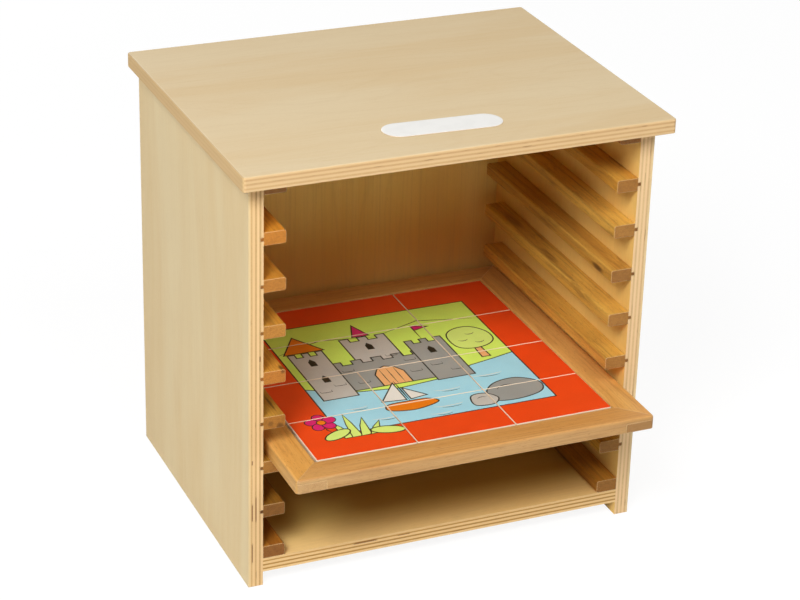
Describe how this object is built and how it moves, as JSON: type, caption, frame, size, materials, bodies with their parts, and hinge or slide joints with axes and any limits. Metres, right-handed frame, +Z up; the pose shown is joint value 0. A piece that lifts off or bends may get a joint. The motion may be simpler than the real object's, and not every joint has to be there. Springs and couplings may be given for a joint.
{
  "type": "puzzle storage case",
  "caption": "Open-fronted plywood case with runners tongued into its sides for framed picture puzzles; a tray stands part-way out and its tiles lift out.",
  "frame": {"origin": "on the floor, midway between the outer sides and midway between the tray's front edge and the back of the case, with the tray where it rests", "axes": "+Z up, open front towards -Y, +X to the right seen from the front"},
  "size_m": [0.28, 0.2524, 0.2819],
  "materials": {
    "birch_plywood": "satin clear lacquer",
    "beech_runner": "satin clear lacquer",
    "beech_frame": "satin clear lacquer",
    "base_plywood": "sanded",
    "printed_tile": "printed and satin lacquered face on plywood"
  },
  "bodies": {
    "case": {"side_left": "birch_plywood", "side_right": "birch_plywood", "bottom_panel": "birch_plywood", "back_panel": "birch_plywood", "top_panel": "birch_plywood", "glue_strip_bottom_left": "beech_runner", "runner_left_1": "beech_runner", "runner_left_2": "beech_runner", "runner_left_3": "beech_runner", "runner_left_4": "beech_runner", "runner_left_5": "beech_runner", "runner_left_6": "beech_runner", "runner_left_7": "beech_runner", "glue_strip_top_left": "beech_runner", "glue_strip_bottom_right": "beech_runner", "runner_right_1": "beech_runner", "runner_right_2": "beech_runner", "runner_right_3": "beech_runner", "runner_right_4": "beech_runner", "runner_right_5": "beech_runner", "runner_right_6": "beech_runner", "runner_right_7": "beech_runner", "glue_strip_top_right": "beech_runner"},
    "tray": {"tray_strip_front": "beech_frame", "tray_strip_back": "beech_frame", "tray_strip_left": "beech_frame", "tray_strip_right": "beech_frame", "tray_base": "base_plywood"},
    "tile_row1_col1": {"tile_row1_col1": "printed_tile"},
    "tile_row1_col3": {"tile_row1_col3": "printed_tile"},
    "tile_row2_col1": {"tile_row2_col1": "printed_tile"},
    "tile_row2_col3": {"tile_row2_col3": "printed_tile"},
    "tile_row3_col1": {"tile_row3_col1": "printed_tile"},
    "tile_row3_col2": {"tile_row3_col2": "printed_tile"},
    "tile_row3_col3": {"tile_row3_col3": "printed_tile"},
    "tile_row4_col1": {"tile_row4_col1": "printed_tile"},
    "tile_row4_col2": {"tile_row4_col2": "printed_tile"},
    "tile_row4_col3": {"tile_row4_col3": "printed_tile"}
  },
  "joints": [
    {"name": "tray_slide", "type": "slide", "parent": "case", "child": "tray", "axis": [0, -1, 0], "range_m": [-0.0027, 0.2]},
    {"name": "tile_row1_col1_lift", "type": "slide", "parent": "tray", "child": "tile_row1_col1", "axis": [0, 0, 1], "range_m": [0, 0.015]},
    {"name": "tile_row1_col3_lift", "type": "slide", "parent": "tray", "child": "tile_row1_col3", "axis": [0, 0, 1], "range_m": [0, 0.015]},
    {"name": "tile_row2_col1_lift", "type": "slide", "parent": "tray", "child": "tile_row2_col1", "axis": [0, 0, 1], "range_m": [0, 0.015]},
    {"name": "tile_row2_col3_lift", "type": "slide", "parent": "tray", "child": "tile_row2_col3", "axis": [0, 0, 1], "range_m": [0, 0.015]},
    {"name": "tile_row3_col1_lift", "type": "slide", "parent": "tray", "child": "tile_row3_col1", "axis": [0, 0, 1], "range_m": [0, 0.015]},
    {"name": "tile_row3_col2_lift", "type": "slide", "parent": "tray", "child": "tile_row3_col2", "axis": [0, 0, 1], "range_m": [0, 0.015]},
    {"name": "tile_row3_col3_lift", "type": "slide", "parent": "tray", "child": "tile_row3_col3", "axis": [0, 0, 1], "range_m": [0, 0.015]},
    {"name": "tile_row4_col1_lift", "type": "slide", "parent": "tray", "child": "tile_row4_col1", "axis": [0, 0, 1], "range_m": [0, 0.015]},
    {"name": "tile_row4_col2_lift", "type": "slide", "parent": "tray", "child": "tile_row4_col2", "axis": [0, 0, 1], "range_m": [0, 0.015]},
    {"name": "tile_row4_col3_lift", "type": "slide", "parent": "tray", "child": "tile_row4_col3", "axis": [0, 0, 1], "range_m": [0, 0.015]}
  ]
}
